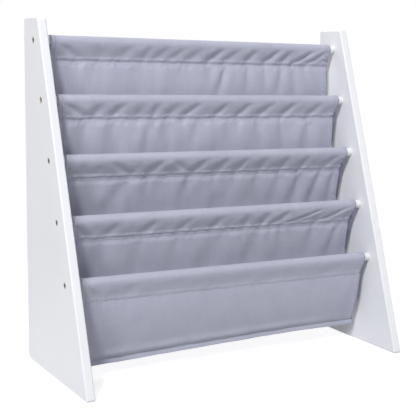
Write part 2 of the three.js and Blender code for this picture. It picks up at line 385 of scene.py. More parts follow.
studio = Settings(
    floorSize=30,
    floorColour=(0.57, 0.57, 0.58, 1),
    floorLift=0.68,
    clearRadius=(0.55, 1.1),
    worldLight=0.15,
    aim=(0, 0, 0.3),
    lamps=(  # name, place, size and power
        ("keyLamp", (-3.0, -3.1, 4.3), 0.7, 206),
        ("sideLamp", (-4.1, -2.9, 2.4), 1.2, 74),
        ("fillLamp", (4.4, -4.0, 2.6), 2.4, 68),
        ("topLamp", (0.0, -0.3, 2.6), 2.0, 9),
        ("backLamp", (-0.25, 1.7, 2.4), 1.6, 30),
    ),
)


def seenDirectly(tree):
    # 1 for what the camera sees straight, in a mirror or through glass
    rays = addNode(tree, "LightPath").outputs
    direct = addMath(tree, "MAXIMUM", rays["Is Camera Ray"], rays["Is Glossy Ray"])
    return addMath(tree, "MAXIMUM", direct, rays["Is Transmission Ray"])


def addStage():
    deselectAll()
    bpy.ops.mesh.primitive_plane_add(size=studio.floorSize)
    floor = bpy.context.object
    floor.name = "studioFloor"
    material, tree, surface = newMaterial("paleFloor")
    away = addNode(tree, "VectorMath", {0: placeOnPiece(tree)}, operation="LENGTH")
    matte = addNode(tree, "BsdfDiffuse", {"Color": studio.floorColour})
    lift = addNode(tree, "Emission", {
        "Strength": multiply(tree, seenDirectly(tree), studio.floorLift)})
    near = addNode(tree, "AddShader", {0: matte.outputs[0], 1: lift.outputs[0]})
    far = addNode(tree, "Emission")
    clear = addRange(tree, away.outputs["Value"], studio.clearRadius)
    mix = addNode(tree, "MixShader", {
        0: multiply(tree, clear, seenDirectly(tree)),
        1: near.outputs[0], 2: far.outputs[0]})
    feed(tree, surface, mix.outputs[0])
    floor.data.materials.append(material)

    world = bpy.data.worlds.new("studio")
    bpy.context.scene.world = world
    world.use_nodes = True
    sky = world.node_tree
    background = sky.nodes["Background"]
    feed(sky, background.inputs[0], (1, 1, 1, 1))
    feed(sky, background.inputs[1],
         addRange(sky, seenDirectly(sky), (0.0, 1.0), studio.worldLight, 1.0))

    for name, place, size, power in studio.lamps:
        light = bpy.data.lights.new(name, "AREA")
        light.size = size
        light.energy = power
        holder = addObject(light)
        holder.location = place
        aim = Vector(studio.aim) - Vector(place)
        holder.rotation_euler = aim.to_track_quat("-Z", "Y").to_euler()
        holder.visible_camera = False
    bpy.context.scene.view_settings.view_transform = "Standard"
    print("stage and lights ready")


# Helpers for modelling. The rods, bolts and bores are turned along x.

tiny = 0.01 * mm
close = 0.05 * mm
flatEnd = 0.9  # a face looks along x when its normal's share of x is larger


def makeActive(piece):
    deselectAll()
    piece.select_set(True)
    bpy.context.view_layer.objects.active = piece


def startEditing(piece):
    makeActive(piece)
    bpy.ops.object.mode_set(mode="EDIT")


def stopEditing():
    bpy.ops.object.mode_set(mode="OBJECT")


def chooseWhere(piece, kind, test):
    # select the edges or faces that pass the test
    bpy.ops.mesh.select_mode(type=kind)
    bpy.ops.mesh.select_all(action="DESELECT")
    mesh = bmesh.from_edit_mesh(piece.data)
    for item in {"EDGE": mesh.edges, "FACE": mesh.faces}[kind]:
        if test(item):
            item.select_set(True)
    bmesh.update_edit_mesh(piece.data)


def chooseEnd(piece, side):
    chooseWhere(piece, "FACE", lambda face: face.normal.x * side > flatEnd)


def chooseRing(piece, place, radius):
    # the edges of a circle round the x axis, this far from the origin on either side
    chooseWhere(piece, "EDGE", lambda edge: all(
        abs(abs(corner.co.x) - place) < tiny
        and abs(math.hypot(corner.co.y, corner.co.z) - radius) < close
        for corner in edge.verts))


def bevel(width, segments):
    bpy.ops.mesh.bevel(offset=width, offset_type="OFFSET", segments=segments, profile=0.5,
                       clamp_overlap=False)


def extrude(distance):
    bpy.ops.mesh.extrude_region_move(TRANSFORM_OT_translate={"value": (distance, 0, 0)})


def stepOn(inset, distance):
    # the chosen end goes on narrower, or into the piece
    bpy.ops.mesh.inset(thickness=inset, depth=0)
    extrude(distance)


def settle(piece, name):
    # the object goes to the origin, unturned and unscaled, with its place in its mesh
    makeActive(piece)
    bpy.ops.object.transform_apply(location=True, rotation=True, scale=True)
    piece.name = piece.data.name = name


def addCylinder(name, sides, radius, length, place=(0, 0, 0)):
    deselectAll()
    bpy.ops.mesh.primitive_cylinder_add(vertices=sides, radius=radius, depth=length,
                                        location=place, rotation=(0, math.pi / 2, 0))
    piece = bpy.context.object
    settle(piece, name)
    return piece


def applyModifier(piece, modifier):
    makeActive(piece)
    bpy.ops.object.modifier_apply(modifier=modifier.name)


def cutAway(piece, cutter):
    cut = piece.modifiers.new("cut", "BOOLEAN")
    cut.object = cutter
    cut.operation = "DIFFERENCE"
    cut.solver = "EXACT"
    applyModifier(piece, cut)
    discard(cutter)


def smoothByAngle(piece, angle):
    makeActive(piece)
    bpy.ops.object.shade_smooth_by_angle(angle=angle)
    weighted = piece.modifiers.new("evenNormals", "WEIGHTED_NORMAL")
    weighted.keep_sharp = True
    applyModifier(piece, weighted)


def newMesh(name, vertices, faces):
    mesh = bpy.data.meshes.new(name)
    mesh.from_pydata(vertices.tolist(), [], faces)
    mesh.polygons.foreach_set("use_smooth", np.ones(len(faces), dtype=bool))
    mesh.update()
    return mesh


def copyMesh(source, name, placement):
    mesh = source.data.copy()
    mesh.transform(placement)
    if placement.determinant() < 0:
        mesh.flip_normals()
    mesh.name = name
    return addObject(mesh)


def dress(piece, material, node=None):
    piece.data.materials.clear()
    piece.data.materials.append(material)
    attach(piece, "root")
    if node:
        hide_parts(node)


# Side panels: a board cut to the slant, corners rounded, edges eased, bolt holes sunk

panel = Settings(
    cornerRadii={"footFront": shelf.footFrontRadius, "footBack": 12 * mm,
                 "topBack": 6 * mm, "topFront": 8 * mm},
    cornerSegments=10,
    ease=3 * mm,
    easeSegments=5,
    boreRadius=5.5 * mm,
    boreDepth=6.8 * mm,
    boreSides=48,
    holeRadius=3.3 * mm,
    rimEase=0.4 * mm,
    smoothAngle=math.radians(40),
)


def makeHoleCutter():
    overrun = 2 * mm
    cutters = []
    for depth, height in rods:
        cutter = addCylinder(
            "holeCutter", panel.boreSides, panel.boreRadius, panel.boreDepth + overrun,
            (outerFace - (panel.boreDepth - overrun) / 2, depth, height))
        startEditing(cutter)
        chooseEnd(cutter, -1)
        stepOn(panel.boreRadius - panel.holeRadius, -shelf.boardThickness)
        stopEditing()
        cutters.append(cutter)
    deselectAll()
    for cutter in cutters:
        cutter.select_set(True)
    bpy.context.view_layer.objects.active = cutters[0]
    bpy.ops.object.join()
    return cutters[0]


def addPanels():
    slant = shelf.frontSlant
    low = Vector((innerFace, footCorner, 0))
    high = Vector((outerFace, backEdge, shelf.height))
    deselectAll()
    bpy.ops.mesh.primitive_cube_add(size=1, location=(low + high) / 2, scale=high - low)
    board = bpy.context.object
    settle(board, "panelRight")

    startEditing(board)
    bpy.ops.mesh.select_all(action="SELECT")
    bpy.ops.mesh.bisect(plane_co=(0, footCorner, 0),
                        plane_no=(0, -math.cos(slant), math.sin(slant)),
                        use_fill=True, clear_outer=True)
    corners = (
        ("footFront", footCorner, 0, math.pi / 2 - slant),
        ("footBack", backEdge, 0, math.pi / 2),
        ("topBack", backEdge, shelf.height, math.pi / 2),
        ("topFront", frontEdgeAt(shelf.height), shelf.height, math.pi / 2 + slant),
    )
    for name, depth, height, angle in corners:
        chooseWhere(board, "EDGE", lambda edge: all(
            abs(corner.co.y - depth) < mm and abs(corner.co.z - height) < mm
            for corner in edge.verts))
        bevel(panel.cornerRadii[name] / math.tan(angle / 2), panel.cornerSegments)
    chooseWhere(board, "EDGE", lambda edge: abs(edge.verts[0].co.x - edge.verts[1].co.x) < tiny)
    bevel(panel.ease, panel.easeSegments)
    stopEditing()
    cutAway(board, makeHoleCutter())

    def onRim(edge):
        return any(all(
            abs(corner.co.x - outerFace) < close
            and abs(math.hypot(corner.co.y - depth, corner.co.z - height)
                    - panel.boreRadius) < 2 * close
            for corner in edge.verts) for depth, height in rods)

    startEditing(board)
    chooseWhere(board, "EDGE", onRim)
    bevel(panel.rimEase, segments=2)
    stopEditing()

    other = copyMesh(board, "panelLeft", Matrix.Scale(-1, 4, (1, 0, 0)))
    for piece, node in ((board, "side_panel_right"), (other, "side_panel_left")):
        smoothByAngle(piece, panel.smoothAngle)
        dress(piece, boardPaint, node)
    print("side panels made")


# Rods, with a stepped hole in each end for the insert

rod = Settings(
    sides=56,
    insertRadius=4.8 * mm,
    insertDepth=13.3 * mm,
    tipRadius=3.3 * mm,
    tipDepth=22.5 * mm,
    endEase=0.8 * mm,
    turnStep=0.7,
    smoothAngle=math.radians(40),
)


def addRods():
    length = 2 * (innerFace - shelf.fitGap)
    master = addCylinder("rodMaster", rod.sides, shelf.rodRadius, length)
    startEditing(master)
    for side in (-1, 1):
        chooseEnd(master, side)
        stepOn(shelf.rodRadius - rod.insertRadius, -side * rod.insertDepth)
        stepOn(rod.insertRadius - rod.tipRadius, side * (rod.insertDepth - rod.tipDepth))
    chooseRing(master, length / 2, shelf.rodRadius)
    bevel(rod.endEase, segments=3)
    stopEditing()
    for count, (depth, height) in enumerate(rods, 1):
        turn = Matrix.Rotation(rod.turnStep * count, 4, "X")
        place = Matrix.Translation((0, depth, height))
        piece = copyMesh(master, f"rodPainted_{count}", place @ turn)
        smoothByAngle(piece, rod.smoothAngle)
        dress(piece, rodPaint, f"rod_{count}")
    discard(master)
    print("rods made")


# Socket head bolts

bolt = Settings(
    sides=48,
    headRadius=5 * mm,
    headHeight=6 * mm,
    shankRadius=3 * mm,
    shankLength=30 * mm,
    socketAcross=5 * mm,
    socketDepth=3 * mm,
    socketRim=0.25 * mm,
    drillInset=0.6 * mm,
    drillDepth=0.9 * mm,
    drillTip=0.15,
    rim=0.6 * mm,
    tipEase=0.8 * mm,
    seat=313.5 * mm,
    turnStep=0.37,
    handTurn=0.5,
    smoothAngle=math.radians(35),
)


def makeSocketCutter(acrossCorners):
    overrun = 1 * mm
    cutter = addCylinder("socketCutter", 6, acrossCorners, bolt.socketDepth + overrun,
                         (bolt.headHeight - (bolt.socketDepth - overrun) / 2, 0, 0))
    startEditing(cutter)
    chooseEnd(cutter, -1)
    stepOn(bolt.drillInset, -bolt.drillDepth)
    bpy.ops.transform.resize(value=(1, bolt.drillTip, bolt.drillTip), center_override=(0, 0, 0))
    stopEditing()
    return cutter


def addBolts():
    master = addCylinder("boltMaster", bolt.sides, bolt.headRadius, bolt.headHeight,
                         (bolt.headHeight / 2, 0, 0))
    startEditing(master)
    chooseEnd(master, -1)
    stepOn(bolt.headRadius - bolt.shankRadius, -bolt.shankLength)
    chooseRing(master, bolt.shankLength, bolt.shankRadius)
    bevel(bolt.tipEase, segments=2)
    chooseRing(master, bolt.headHeight, bolt.headRadius)
    bevel(bolt.rim, segments=3)
    stopEditing()

    acrossCorners = bolt.socketAcross / 2 / math.cos(math.pi / 6)
    cutAway(master, makeSocketCutter(acrossCorners))
    startEditing(master)
    chooseRing(master, bolt.headHeight, acrossCorners)
    bevel(bolt.socketRim, segments=2)
    stopEditing()
    corners = [corner.co for corner in master.data.vertices]
    inSocket = [
        face.center.x > 1 * mm
        and all(math.hypot(corners[corner].y, corners[corner].z) < acrossCorners + close
                for corner in face.vertices)
        for face in master.data.polygons]

    for side, hand in ((-1, "left"), (1, "right")):
        for count, (depth, height) in enumerate(rods, 1):
            facing = Matrix.Rotation(0 if side > 0 else math.pi, 4, "Z")
            turn = Matrix.Rotation(bolt.turnStep * count * count + bolt.handTurn * side, 4, "X")
            place = Matrix.Translation((side * bolt.seat, depth, height))
            piece = copyMesh(master, f"boltBrass_{hand}_{count}", place @ facing @ turn)
            smoothByAngle(piece, bolt.smoothAngle)
            dress(piece, satinBrass, f"bolt_{hand}_{count}")
            # the faces inside the hex socket take the painted shade
            piece.data.materials.append(socketPaintedShade)
            for face, dark in zip(piece.data.polygons, inSocket):
                face.material_index = int(dark)
    discard(master)
    print("bolts made")


def finishInserts():
    for hand in ("left", "right"):
        for count in range(1, shelf.rodCount + 1):
            for slot in bpy.data.objects[f"rod_insert_{hand}_{count}"].material_slots:
                slot.material = platedZinc
    print("inserts finished")


# Canvas slings. Each strip runs from the foot of its front leg up to the seam, up the sleeve's
# front, over the rod, down the sleeve's back to the seam, and down its back leg or tail. Five
# values in brackets are for the slings from the top down, and four for the pockets.

sling = Settings(
    thickness=1.2 * mm,
    thinnest=0.3 * mm,
    layerGap=0.3 * mm,
    sideRoom=12 * mm,
    wrapRadius=9.2 * mm,
    rodRoom=8.1 * mm,
    sleeveDrop=33 * mm,
    seamHold=3 * mm,
    pocketDrop=130 * mm,
    flangeRows=(1.4, 2.4, 3.6, 5.2, 7, 8.3, 8.8, 9),
    tailRows=(4.2, 5.6, 7, 8.4, 9.3, 9.8, 10),
    stitchBackShares=(0.11, 0.13, 0.28, 0.22, 0.06),
    wallBackShares=(-0.14, 0.11, 1.06, 1.0, 0.08),
    pocketBackShares=(0.75, 0.88, 0.88, 0.7),
    legOpening=1.6,
    hemWidth=10 * mm,
    hemStitch=8 * mm,
    hemExtra=0.8 * mm,
    hemGroove=0.7 * mm,
    sideThinning=0.9 * mm,
    endThinning=0.7 * mm,
    grooveDepth=0.8 * mm,
    columnStep=3.1 * mm,
    rowStep=3 * mm,
    puckers=(0.9, 0.3, 0.6, 0.5, 0.25),
    seamWave=(0.3, 0.7, 0.5, 0.4, 0.5),
    seamShare=0.6,
    seamLip=(1.1, 1.2, 1.2, 1.2, 0.5),
    gathers=(1.0, 1.0, 0.6, 0.6, 0.4),
    sleeveFolds=1.25,
    sleeveBow=1.3 * mm,
    wallFolds=(1.5, 1.7, 1.6, 1.6, 1.2),
    wallBulge=(1.2, 1.5, 1.8, 1.8, 0.2),
    wander=(1.1, 1.5, 1.5, 1.3, 0.4),
    lastPocketSlant=13 * mm,
    lastPocketBulge=2.6 * mm,
    edgePull=(0.6, 5.4, 5.6, 5.8, 4.6),
    pullReach=(90, 90, 90, 90, 190),
    pullWidth=22 * mm,
    backFlare=0.75,
    leftReach=(0, 1.9, 2.4, 3.8, 3.3),
    leftWidth=60 * mm,
    edgeWave=0.6 * mm,
    edgeWaveLength=31 * mm,
    edgeWaveWidth=30 * mm,
    # painted shade: along hems, at the cloth's ends and inside the folds, with the deepest level it
    # may reach
    hemShade=0.95,
    endShades=(1.0, 4.0),
    endShadeWidth=1.7 * mm,
    insideShade=6,
    insideShadeEnds=(7 * mm, 10 * mm),
    insideShadeRow=4,
    deepestShade=4,
    weaveShift=0.7,
)

# where each wandering of the cloth starts its random numbers
seeds = {
    "seam": 10, "seamWave": 20, "wall": 30, "sleeve": 40, "backLeg": 50, "tail": 60, "bottom": 70,
    "flange": 90, "lastBulge": 97, "gather": 110, "fineGather": 120, "uneven": 130,
}

# leaning folds in each sleeve, in mm: place under the rod, place at the seam, depth, half width
sleeveFolds = (
    ((-271, -240, 2.2, 9), (-205, -196, 1.0, 10), (-143, -157, 1.2, 10), (-101, -114, 1.5, 8),
     (-64, -92, 1.3, 10), (-30, -62, 1.2, 9), (4, -20, 1.0, 9), (50, 20, 2.2, 9),
     (84, 56, 1.4, 9), (121, 105, 2.2, 8), (174, 144, 2.8, 8), (201, 184, 2.0, 8),
     (258, 207, 3.2, 8), (289, 240, 2.2, 8)),
    ((-277, -240, 2.6, 9), (-212, -223, 1.8, 9), (-168, -187, 1.8, 9), (-132, -141, 1.0, 9),
     (-104, -108, 1.8, 7), (-60, -80, 1.1, 9), (-17, -48, 2.4, 9), (40, 18, 2.0, 8),
     (90, 66, 2.3, 8), (140, 112, 2.0, 9), (190, 164, 2.4, 8), (253, 227, 2.4, 9)),
    ((-262, -248, 1.2, 8), (-208, -168, 2.0, 9), (-111, -133, 2.6, 9), (-87, -53, 2.0, 8),
     (-22, -45, 2.6, 9), (24, 2, 1.8, 8), (64, 46, 2.0, 8), (104, 96, 1.6, 8), (153, 144, 2.0, 8),
     (202, 187, 2.4, 8), (272, 241, 2.6, 9)),
    ((-286, -268, 1.6, 8), (-210, -228, 1.4, 10), (-140, -160, 1.6, 10), (-70, -92, 1.4, 10),
     (-8, -22, 1.6, 9), (47, 45, 1.6, 8), (90, 82, 2.2, 8), (141, 104, 2.4, 9), (224, 126, 3.2, 9),
     (281, 202, 2.8, 9)),
    ((-277, -259, 1.2, 8), (-194, -204, 0.8, 12), (224, 199, 0.7, 14)),
)

# falling folds in each wall, in mm: place at the seam, place 100 lower, depth, half width, reach
wallFolds = (
    ((58, 30, 2.2, 7, 78), (26, 30, 0.9, 9, 70), (108, 104, 1.2, 7, 66), (150, 140, 0.8, 8, 60),
     (184, 170, 1.5, 7, 72), (214, 222, 2.0, 8, 84), (-44, -60, 0.9, 13, 90),
     (-132, -120, 1.0, 16, 110), (-214, -204, 0.9, 13, 80), (-262, -256, 0.7, 10, 70)),
    ((-268, -288, -1.3, 9, 60), (-236, -250, 1.3, 12, 120), (-187, -178, 1.5, 15, 130),
     (-116, -132, 1.5, 9, 96), (-84, -72, 1.4, 16, 120), (-22, -34, 1.1, 13, 90),
     (48, 40, 0.9, 16, 120), (112, 124, 1.0, 12, 80), (178, 170, 0.8, 14, 110),
     (236, 212, 1.6, 13, 110)),
    ((-176, -236, 1.1, 13, 90), (-240, -236, 0.8, 12, 110), (-118, -96, 0.9, 15, 100),
     (-52, -62, 1.1, 12, 90), (26, 20, 0.9, 16, 110), (92, 104, 0.8, 12, 80),
     (148, 138, 1.2, 11, 110), (196, 176, 1.7, 9, 110), (240, 214, 1.8, 9, 110),
     (276, 262, 1.0, 8, 80)),
    ((-240, -252, 0.8, 14, 110), (-168, -158, 0.9, 17, 130), (-86, -98, 0.8, 13, 90),
     (-6, -24, 1.0, 14, 120), (62, 84, 1.1, 12, 90), (140, 128, 0.9, 15, 110),
     (206, 196, 0.9, 11, 80), (262, 232, 1.7, 9, 110)),
    ((-214, -213, 0.5, 14, 100), (40, 46, 0.4, 20, 100)),
)


def softStep(value, low, high):
    share = np.clip((value - low) / (high - low), 0.0, 1.0)
    return share * share * (3 - 2 * share)


def fade(value, low, high):
    return 1 - softStep(value, low, high)


def hump(offset, width):
    return np.exp(-(offset / width) ** 2)


def crease(offset):
    # a valley with a rounder ridge on each side
    return hump(offset, 0.8) - 0.45 * hump(offset - 1.9, 1.1) - 0.35 * hump(offset + 1.9, 1.1)


def softFold(offset):
    # a broad, shallow valley with a low swelling on each side
    return hump(offset, 0.9) - 0.42 * hump(offset - 1.8, 1.2) - 0.38 * hump(offset + 1.8, 1.2)


def wander(across, along, what, number=0):
    # a smooth wandering of the cloth, from -1 to 1, the same on each run
    waves = np.random.default_rng(seeds[what] + number)
    total = np.zeros(np.broadcast(across, along).shape)
    for size in (110, 70, 48, 33, 24):
        lean = waves.uniform(-0.5, 0.5)
        start, bend = waves.uniform(0, 2 * math.pi, 2)
        travel = (across * math.cos(lean) + along * math.sin(lean) * 0.6) / (size * mm)
        total = total + size / 110 * np.sin(2 * math.pi * travel + start
                                            + 1.2 * np.sin(along / (60 * mm) + bend))
    return total / 2.2


def eased(start, pull, end, share):
    return (1 - share) ** 2 * start + 2 * share * (1 - share) * pull + share ** 2 * end


def unit(vectors):
    return vectors / np.linalg.norm(vectors, axis=-1, keepdims=True)


def lengthsAlong(path):
    steps = np.linalg.norm(np.diff(path, axis=0), axis=1)
    return np.concatenate([[0], np.cumsum(steps)])


def pocketBottom(pocket):
    depth, height = rods[pocket + 1]
    return depth + sling.pocketBackShares[pocket] * depthStep, height - sling.pocketDrop


def slantBy(pocket, across):
    # the lowest pocket's bottom hangs lower towards the left
    if pocket < shelf.rodCount - 2:
        return 0
    return sling.lastPocketSlant * np.clip((150 * mm - across) / (413 * mm), 0, 1.1) ** 1.15


def clothColumns():
    # closer together where the hem is turned and stitched
    half = innerFace - shelf.fitGap - sling.sideRoom
    edge = np.array([0, 0.25, 0.7, 1.6, 3, 4.6, 6, 7, 7.5, 8, 8.5, 9.1, 9.6, 10.1, 10.7,
                     12, 14]) * mm
    reach = half - edge[-1] - 2 * mm
    middle = np.linspace(-reach, reach, round(2 * reach / sling.columnStep) + 1)
    return half, np.concatenate([edge - half, middle, (half - edge)[::-1]])


def wallHeights(top, bottom):
    # closer together near both seams
    length = top - bottom
    near = np.array([0, 1, 2, 3.5, 5, 7, 9.5, 12.5]) * mm
    count = round((length - 2 * near[-1]) / sling.rowStep)
    middle = np.linspace(near[-1], length - near[-1], count + 1)[1:-1]
    return bottom + np.concatenate([near, middle, (length - near)[::-1]])


def bottomPush(pocket, across, rise):
    # what both layers share where two slings are sewn together, rise metres above the seam
    return 1.1 * mm * wander(across, 0, "bottom", pocket) + 1.2 * mm * hump(rise, 2.5 * mm)


def shapeStrip(index):
    depth, height = rods[index]
    half, across = clothColumns()
    inward = half - np.abs(across)
    hem = fade(inward, sling.hemWidth - 0.5 * mm, sling.hemWidth + 0.5 * mm)
    fullThickness = (sling.thickness + sling.hemExtra * hem
                     - sling.hemGroove * hump(inward - sling.hemStitch, 0.9 * mm)
                     - sling.sideThinning * fade(inward, 0, 0.8 * mm))
    apart = fullThickness + sling.layerGap
    layer = (sling.thickness + sling.layerGap) / 2
    spread = sling.hemExtra / 2 * hem
    stitchDepth = depth + sling.stitchBackShares[index] * depthStep
    stitchHeight = height - sling.sleeveDrop
    belly = depth + sling.wallBackShares[index] * depthStep
    radius = sling.wrapRadius
    lowest = index == shelf.rodCount - 1
    hasTail = lowest or index == 0
    flare = 0 if hasTail else sling.backFlare
    folding = sling.sleeveFolds * mm

    def ripple(what, number=index):
        return wander(across, 0, what, number)

    seamPush = 0.4 * mm * ripple("seam") + sling.seamShare * folding * sum(
        deep * crease((across - seam * mm) / (wide * mm))
        for under, seam, deep, wide in sleeveFolds[index])
    seamRise = sling.seamWave[index] * mm * np.sin(across / (7.4 * mm) + 1.5 * ripple("seamWave"))
    gather = 0.5 * mm * (np.sin(across / (2.1 * mm) + 2 * ripple("gather"))
                         + np.sin(across / (3.4 * mm) + 3 * ripple("fineGather")))
    edgeMask = softStep(-inward, -20 * mm, -8 * mm) * np.where(across > 0, 1.0, 0.5)
    # painted shade along the stitched seams, uneven across the cloth
    uneven = 0.75 + 0.45 * np.sin(across / (2.3 * mm) + 3 * ripple("uneven"))
    # painted shade along the hem's stitch line, and on the cloth's ends where the turned hem is in
    # its own shade, heavier at the right end
    leftEndPaintedShade, rightEndPaintedShade = sling.endShades
    hemShade = np.maximum(
        sling.hemShade * hump(inward - sling.hemStitch, 1.1 * mm),
        np.where(across > 0, rightEndPaintedShade, leftEndPaintedShade) * hump(inward, sling.endShadeWidth))

    rows, marks = [], {}  # marks tell which rows are stitched

    def addRow(rowDepth, level, groove=0.0, thin=0.0, pull=0.0):
        # pull, from 0 to 1, draws the row's ends in from the sides
        drawn = pull * sling.edgePull[index] * mm * hump(inward, sling.pullWidth)
        # each row carries its painted shade: along a stitched groove, and along the hems and ends
        rows.append([value + 0 * across for value in (
            across - drawn * np.sign(across), rowDepth, level,
            fullThickness - groove * sling.grooveDepth - thin * sling.endThinning,
            np.maximum(groove * uneven, hemShade))])

    def addSeam(name, side, offsets, pull):
        for step, offset in enumerate(offsets):
            if step == 1:
                marks[name] = len(rows)
            addRow(stitchDepth + side * (layer + spread) + seamPush,
                   stitchHeight + offset * mm + seamRise, groove=step == 1, pull=pull)

    def addFlange(pocket, seamDepth, seamHeight, side, drops):
        # the sewn edge that hangs under a pocket
        for drop in drops:
            sway = -0.5 * mm * (drop / 9) ** 2 * (1 + ripple("flange", pocket))
            push = bottomPush(pocket, across, -drop * mm)
            addRow(seamDepth + side * spread + push + sway, seamHeight - drop * mm,
                   thin=softStep(drop, 8.2, 9))

    def pucker(along):
        return (sling.puckers[index] * mm * edgeMask
                * np.sin(2 * math.pi * along / (9 * mm) + 2.2 * np.sin(along / (21 * mm))
                         + 300 * inward))

    def wallPush(drop):
        # drop is the distance below the seam
        push = seamPush * fade(drop, 0, 38 * mm)
        for start, lower, deep, wide, reach in wallFolds[index]:
            middle = start + (lower - start) * drop / (100 * mm)
            window = softStep(drop, 1 * mm, 14 * mm) * fade(drop, 0.35 * reach * mm, reach * mm)
            broad = wide * (1 + 0.5 * softStep(drop, 0, 60 * mm)) * mm
            push = push + (deep * sling.wallFolds[index] * mm * window
                           * softFold((across - middle * mm) / broad))
        loose = softStep(drop, 6 * mm, 45 * mm)
        push = push + (sling.gathers[index] * gather * hump(drop - 4 * mm, 4.5 * mm)
                       * softStep(drop, 0, 4 * mm))
        return (push + sling.wander[index] * mm * loose * wander(across, drop, "wall", index)
                + loose * pucker(drop))

    def swell(drop):
        # below the seam the cloth comes out before it falls away
        return (sling.wallBulge[index] * mm * softStep(drop, 0, 10 * mm)
                * fade(drop, 18 * mm, 75 * mm))

    # front leg
    pocket = min(index, shelf.rodCount - 2)
    bottomDepth, bottomHeight = pocketBottom(pocket)
    bottomSide = -1 if lowest else 1
    endDepth = bottomDepth + bottomSide * layer
    slant = slantBy(pocket, across)
    wallTop = stitchHeight - sling.seamHold
    pullReach = sling.pullReach[index] * mm

    def wallDepthAt(level):
        share = (stitchHeight - level) / (stitchHeight - bottomHeight)
        return eased(stitchDepth - layer, belly, endDepth, share)

    def frontLegDepth(level):
        drop = wallTop - level
        share = drop / (wallTop - bottomHeight)
        join = softStep(share, 0.7, 1.0)
        rise = level - bottomHeight
        push = (wallPush(drop) - swell(drop)) * (1 - join) + bottomPush(pocket, across, rise) * join
        if lowest:
            bulge = sling.lastPocketBulge * fade(across, 120 * mm, 290 * mm)
            bulge = bulge * (1 + 0.35 * ripple("lastBulge", 0))
            push = push - bulge * hump(rise - 7.5 * mm, 6 * mm) * softStep(rise, 0, 3 * mm)
        side = -spread if lowest else spread * (2 * softStep(share, 0.3, 0.7) - 1)
        return wallDepthAt(level) + push + side

    addFlange(pocket, endDepth, bottomHeight - slant, bottomSide, sling.flangeRows[::-1])
    marks["frontFlange"] = len(rows)
    for level in wallHeights(wallTop, bottomHeight):
        drop = wallTop - level
        lower = slant * (drop / (wallTop - bottomHeight)) ** 1.5
        addRow(frontLegDepth(level), level + seamRise * fade(drop, 0, 40 * mm) - lower,
               groove=hump(level - bottomHeight, 0.8 * mm),
               pull=fade(drop, 0.4 * pullReach, pullReach))
    addSeam("frontSeam", -1, (-2.2, -1.5, -0.8), 1)

    def sleeveDepth(share, side):
        fall = 0.45 * share ** 2 + 0.55 * softStep(share, 0, 1)
        base = (depth + side * radius) * (1 - fall) + (stitchDepth + side * layer) * fall
        shift, narrow, scale = (0, 1, 1) if side < 0 else (23, 0.93, 0.6)
        folds = 0
        for under, seam, deep, wide in sleeveFolds[index]:
            middle = (under + (seam - under) * share) * narrow + shift
            folds = folds + deep * softFold((across - middle * mm) / (1.15 * wide * mm))
        own = softStep(share, 0.04, 0.42) * fade(share, 0.55, 1.0)
        loose = softStep(share, 0.1, 0.4) * fade(share, 0.7, 1.0)
        along = share * sling.sleeveDrop
        fine = (0.6 * mm * wander(across + 0.9 * along, along, "sleeve", index + side)
                + pucker(along))
        inwards = (own * scale * folding * folds + loose * fine
                   + sling.sleeveBow * scale * math.sin(math.pi * share) ** 1.5)
        lip = sling.seamLip[index] * mm * hump(share - 0.88, 0.075) * (1 + 0.5 * gather / mm)
        frill = gather * 0.6 * hump(1 - share, 0.12) * softStep(1 - share, 0, 0.1)
        return (base + softStep(share, 0.35, 1.0) * seamPush
                + side * (scale * lip - inwards + spread * softStep(share, 0.5, 1.0) + frill))

    def sleeveRow(share, side):
        rowDepth = sleeveDepth(share, side)
        drop = share * sling.sleeveDrop
        if drop < sling.rodRoom:  # outside the rod
            clear = fullThickness / 2 + math.sqrt(sling.rodRoom ** 2 - drop ** 2)
            rowDepth = depth + side * np.maximum(side * (rowDepth - depth), clear)
        if side > 0:  # behind the sleeve's front
            rowDepth = np.maximum(rowDepth, sleeveDepth(share, -1) + apart)
        addRow(rowDepth, height - drop + softStep(share, 0.35, 1.0) ** 2 * seamRise,
               pull=softStep(share, 0.05, 0.95) if side < 0 else -flare * softStep(share, 0.2, 1.0))

    shares = 1 - np.linspace(0, 1, 20) ** 1.3
    for share in shares:
        sleeveRow(share, -1)
    for angle in np.linspace(0, math.pi, 19)[1:-1]:
        addRow(depth - radius * math.cos(angle), height + radius * math.sin(angle))
    backSleeve = len(rows)
    for share in shares[::-1]:
        sleeveRow(share, 1)
    addSeam("backSeam", 1, (-0.8, -1.5, -2.2, -3.0), -flare)

    if hasTail:
        for drop in sling.tailRows:
            sway = 0.8 * mm * ((drop - 3) / 7) ** 2 * (1 + ripple("tail"))
            addRow(stitchDepth + layer + seamPush + spread + sway,
                   stitchHeight - drop * mm + seamRise, thin=softStep(drop, 9.2, 10))
    else:
        backDepth, backHeight = pocketBottom(index - 1)
        backDepth -= layer
        opening = backDepth - wallDepthAt(backHeight) - 2 * layer
        for level in wallHeights(wallTop, backHeight)[-2::-1]:
            drop = wallTop - level
            share = (stitchHeight - level) / (stitchHeight - backHeight)
            join = softStep(share, 0.6, 1.0)
            rise = level - backHeight
            shared = wallPush(drop) * (1 - share) ** 2 + 0.5 * swell(drop)
            own = 0.9 * mm * softStep(share, 0.15, 0.5) * wander(across, drop, "backLeg", index)
            push = (shared + own) * (1 - join) + bottomPush(index - 1, across, rise) * join
            side = spread * (1 - 2 * softStep(share, 0.3, 0.7))
            rowDepth = (wallDepthAt(level) + 2 * layer
                        + opening * share ** sling.legOpening + push + side)
            rowDepth = np.maximum(rowDepth, frontLegDepth(level) + apart)
            addRow(rowDepth, level + seamRise * fade(drop, 0, 40 * mm),
                   groove=hump(rise, 0.8 * mm), pull=-flare * fade(share, 0.55, 0.95))
        marks["backFlange"] = len(rows) - 1
        addFlange(index - 1, backDepth, backHeight, -1, sling.flangeRows)

    table = np.array(rows)
    points = table[:, :3].transpose(0, 2, 1).copy()
    thickness = np.maximum(table[:, 3], sling.thinnest)
    along = lengthsAlong(points[:, len(across) // 2])
